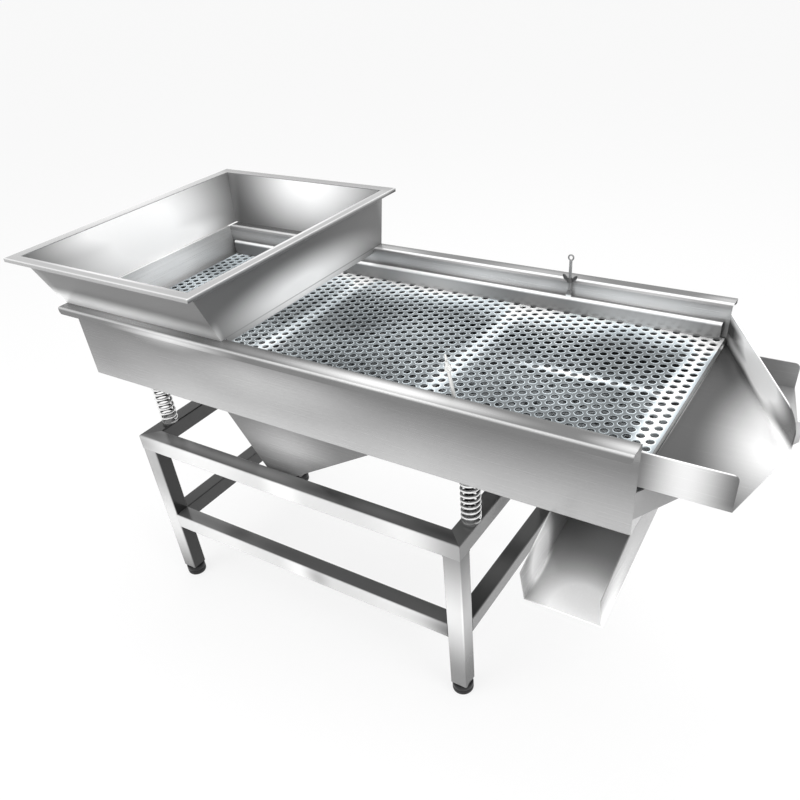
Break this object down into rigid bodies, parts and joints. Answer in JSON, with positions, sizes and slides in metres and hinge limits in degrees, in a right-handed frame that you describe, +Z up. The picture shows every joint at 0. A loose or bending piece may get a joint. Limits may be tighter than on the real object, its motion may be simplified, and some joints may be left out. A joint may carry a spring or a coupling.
{
  "type": "vibrating sieve",
  "caption": "Two-deck linear vibrating sieve: a long trough with hopper on coil springs over a tube frame, with twin vibration motors and staggered outlet chutes.",
  "frame": {"origin": "on the floor under the middle of the bounding box", "axes": "+X from the hopper to the outlets, +Y from the operator's side to the back, +Z up"},
  "size_m": [1.868, 0.868, 1.118],
  "materials": {
    "stainless_sheet": "satin",
    "bright_fasteners": "satin",
    "spring_steel": "satin",
    "rubber": "matte",
    "motor_paint": "semi-gloss",
    "motor_iron": "matte"
  },
  "bodies": {
    "frame": {"foot_back_left": "rubber", "foot_back_right": "rubber", "foot_bolts": "bright_fasteners", "foot_front_left": "rubber", "foot_front_right": "rubber", "leg_back_left": "stainless_sheet", "leg_back_right": "stainless_sheet", "leg_end_plates": "stainless_sheet", "leg_front_left": "stainless_sheet", "leg_front_right": "stainless_sheet", "stretcher_front": "stainless_sheet", "stretcher_left": "stainless_sheet", "stretcher_right": "stainless_sheet", "top_rail_back": "stainless_sheet", "top_rail_front": "stainless_sheet", "top_rail_left": "stainless_sheet", "top_rail_right": "stainless_sheet", "lower_spring_seats": "bright_fasteners", "spring_back_left": "spring_steel", "spring_back_right": "spring_steel", "spring_front_left": "spring_steel", "spring_front_right": "spring_steel"},
    "trough": {"deck_ledges": "stainless_sheet", "fines_chute": "stainless_sheet", "hold_down_bar_back": "stainless_sheet", "hold_down_bar_front": "stainless_sheet", "hopper_rim": "stainless_sheet", "hopper_shell": "stainless_sheet", "lower_deck": "stainless_sheet", "lower_deck_cross_bars": "stainless_sheet", "lower_deck_long_bars": "stainless_sheet", "lower_motor_housing": "motor_paint", "middle_chute": "stainless_sheet", "motor_bolts": "bright_fasteners", "motor_end_covers": "motor_paint", "motor_gusset_back": "stainless_sheet", "motor_gusset_front": "stainless_sheet", "motor_plate": "stainless_sheet", "motor_terminal_boxes": "motor_paint", "outlet_sill": "stainless_sheet", "oversize_chute": "stainless_sheet", "pivot_pin_back": "bright_fasteners", "pivot_pin_front": "bright_fasteners", "spring_beam_left": "stainless_sheet", "spring_beam_right": "stainless_sheet", "trough_end_plate": "stainless_sheet", "trough_shell": "stainless_sheet", "upper_deck": "stainless_sheet", "upper_deck_cross_bars": "stainless_sheet", "upper_deck_long_bars": "stainless_sheet", "upper_motor_housing": "motor_paint", "upper_spring_seats": "bright_fasteners"},
    "upper_rotor": {"upper_motor_rotor": "motor_iron"},
    "lower_rotor": {"lower_motor_rotor": "motor_iron"},
    "front_bolt": {"eye_bolt_front": "bright_fasteners"},
    "back_bolt": {"eye_bolt_back": "bright_fasteners"},
    "front_washer": {"washer_front": "bright_fasteners"},
    "back_washer": {"washer_back": "bright_fasteners"},
    "front_nut": {"wing_nut_front": "bright_fasteners"},
    "back_nut": {"wing_nut_back": "bright_fasteners"}
  },
  "joints": [
    {"name": "trough_shake", "type": "slide", "parent": "frame", "child": "trough", "axis": [0.83, 0, 0.5577], "range_m": [-0.004, 0.004], "stiffness_N_per_m": 66448, "springref_m": 0.01131, "deforming": ["spring_back_left", "spring_back_right", "spring_front_left", "spring_front_right"]},
    {"name": "upper_rotor_spin", "type": "hinge", "parent": "trough", "child": "upper_rotor", "pos_m": [-0.37077, 0.0195, 0.70558], "axis": [0, 1, 0], "continuous": true},
    {"name": "lower_rotor_spin", "type": "hinge", "parent": "trough", "child": "lower_rotor", "pos_m": [-0.31276, 0.0195, 0.61926], "axis": [0, 1, 0], "continuous": true},
    {"name": "front_bolt_swing", "type": "hinge", "parent": "trough", "child": "front_bolt", "pos_m": [0.32, -0.283, 0.945], "axis": [0, 1, 0], "range_deg": [-25, 40]},
    {"name": "front_nut_travel", "type": "slide", "parent": "front_bolt", "child": "front_washer", "axis": [-0.1736, 0, 0.9848], "range_m": [-0.04, 0.005]},
    {"name": "front_nut_spin", "type": "hinge", "parent": "front_washer", "child": "front_nut", "pos_m": [0.30576, -0.283, 1.02575], "axis": [-0.1736, 0, 0.9848], "range_deg": [-11530, 1450]},
    {"name": "back_bolt_swing", "type": "hinge", "parent": "trough", "child": "back_bolt", "pos_m": [0.311, 0.322, 0.945], "axis": [0, 1, 0], "range_deg": [-30, 30]},
    {"name": "back_nut_travel", "type": "slide", "parent": "back_bolt", "child": "back_washer", "axis": [0, 0, 1], "range_m": [0, 0.0425]},
    {"name": "back_nut_spin", "type": "hinge", "parent": "back_washer", "child": "back_nut", "pos_m": [0.311, 0.322, 0.9755], "axis": [0, 0, 1], "range_deg": [0, 12250]}
  ],
  "couplings": [
    {"joint": "lower_rotor_spin", "follows": "upper_rotor_spin", "ratio": -1},
    {"joint": "front_nut_spin", "follows": "front_nut_travel", "rad_per_m": 5026.5},
    {"joint": "back_nut_spin", "follows": "back_nut_travel", "rad_per_m": 5026.5}
  ]
}
